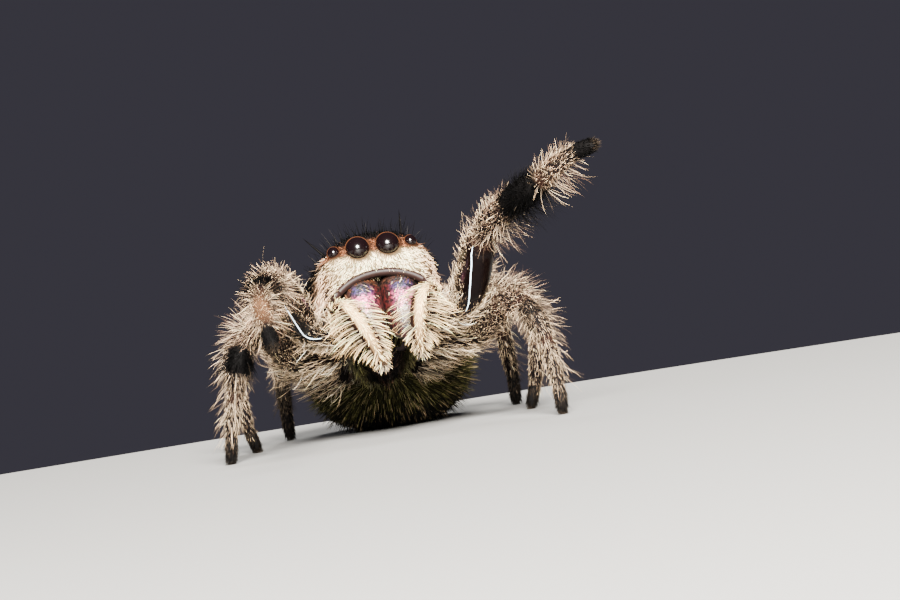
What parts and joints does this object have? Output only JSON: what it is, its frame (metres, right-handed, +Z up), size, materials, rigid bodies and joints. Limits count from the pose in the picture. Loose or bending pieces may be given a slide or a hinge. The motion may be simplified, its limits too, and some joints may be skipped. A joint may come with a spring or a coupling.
{
  "type": "regal jumping spider model",
  "caption": "Life-size still model of a regal jumping spider that stands on its feet and belly, with one foreleg raised in a wave and the other held forward.",
  "frame": {"origin": "on the floor, under the middle of the whole animal's box", "axes": "+Z up, -Y the way the spider looks, +X its left side"},
  "size_m": [0.0124, 0.021, 0.008],
  "materials": {
    "coat_cream": "short cream hairs, peach towards the cheeks",
    "coat_tan": "shaggy tan and grey hairs over dark cuticle",
    "coat_black": "dense black hairs",
    "coat_grey": "grey and olive hairs with pale spots, black beneath",
    "cuticle_dark": "smooth glossy dark brown shell",
    "jaw_violet": "glossy shell with a blue, violet and pink sheen",
    "fang_brown": "polished red-brown",
    "eye_black": "polished black lens"
  },
  "bodies": {
    "root": {"carapace": "coat_cream", "underside": "cuticle_dark", "pedicel": "cuticle_dark", "abdomen": "coat_grey", "spinnerets": "coat_grey", "chelicera_left": "jaw_violet", "fang_left": "fang_brown", "palp_left": "coat_cream", "eye_anterior_median_left": "eye_black", "eye_anterior_lateral_left": "eye_black", "eye_posterior_median_left": "eye_black", "eye_posterior_lateral_left": "eye_black", "leg_1_left_femur": "coat_tan", "leg_1_left_patella": "coat_tan", "leg_1_left_tibia": "coat_black", "leg_1_left_metatarsus": "coat_tan", "leg_1_left_tarsus": "coat_black", "leg_2_left_femur": "coat_tan", "leg_2_left_patella": "coat_tan", "leg_2_left_tibia": "coat_black", "leg_2_left_metatarsus": "coat_tan", "leg_2_left_tarsus": "coat_black", "leg_3_left_femur": "coat_tan", "leg_3_left_patella": "coat_tan", "leg_3_left_tibia": "coat_black", "leg_3_left_metatarsus": "coat_tan", "leg_3_left_tarsus": "coat_black", "leg_4_left_femur": "coat_tan", "leg_4_left_patella": "coat_tan", "leg_4_left_tibia": "coat_black", "leg_4_left_metatarsus": "coat_tan", "leg_4_left_tarsus": "coat_black", "chelicera_right": "jaw_violet", "fang_right": "fang_brown", "palp_right": "coat_cream", "eye_anterior_median_right": "eye_black", "eye_anterior_lateral_right": "eye_black", "eye_posterior_median_right": "eye_black", "eye_posterior_lateral_right": "eye_black", "leg_1_right_femur": "coat_tan", "leg_1_right_patella": "coat_tan", "leg_1_right_tibia": "coat_black", "leg_1_right_metatarsus": "coat_tan", "leg_1_right_tarsus": "coat_black", "leg_2_right_femur": "coat_tan", "leg_2_right_patella": "coat_tan", "leg_2_right_tibia": "coat_black", "leg_2_right_metatarsus": "coat_tan", "leg_2_right_tarsus": "coat_black", "leg_3_right_femur": "coat_tan", "leg_3_right_patella": "coat_tan", "leg_3_right_tibia": "coat_black", "leg_3_right_metatarsus": "coat_tan", "leg_3_right_tarsus": "coat_black", "leg_4_right_femur": "coat_tan", "leg_4_right_patella": "coat_tan", "leg_4_right_tibia": "coat_black", "leg_4_right_metatarsus": "coat_tan", "leg_4_right_tarsus": "coat_black"}
  },
  "joints": []
}
